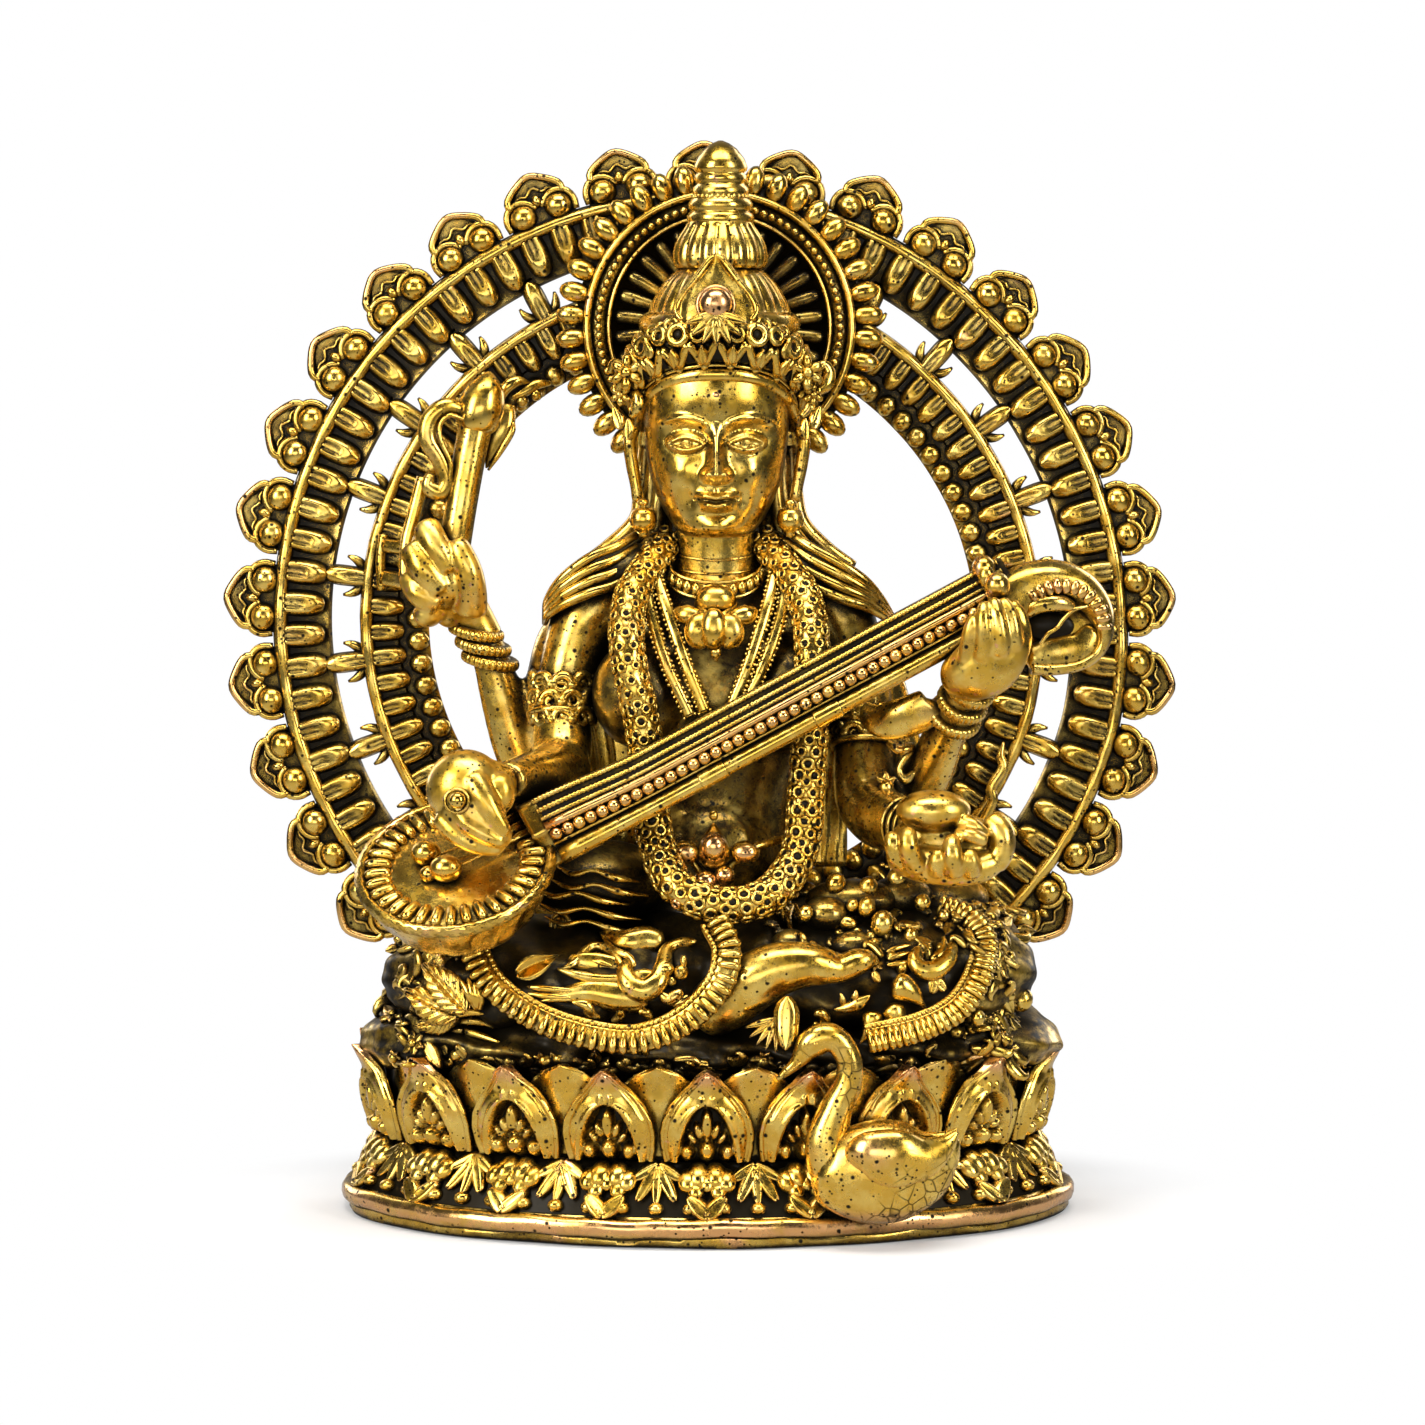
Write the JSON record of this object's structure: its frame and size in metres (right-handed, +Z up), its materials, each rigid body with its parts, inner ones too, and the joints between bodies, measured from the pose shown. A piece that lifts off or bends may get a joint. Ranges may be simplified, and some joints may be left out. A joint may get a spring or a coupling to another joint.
{
  "type": "seated goddess figurine",
  "caption": "Cast gilt-metal figurine of a four-armed goddess playing a long-necked lute before a round pierced halo, on an oval lotus pedestal with a small swan.",
  "frame": {"origin": "middle of the pedestal's flat underside, where the figurine stands", "axes": "+Z up, the figure faces -Y, +X to the viewer's right as seen from the front"},
  "size_m": [0.0906, 0.044, 0.1003],
  "materials": {
    "gilt_brass": "antique gilt, polished on the high points and dark brown in the recesses"
  },
  "bodies": {
    "root": {"lotus_pedestal": "gilt_brass", "seated_goddess": "gilt_brass", "halo_arch": "gilt_brass", "swan": "gilt_brass"}
  },
  "joints": []
}
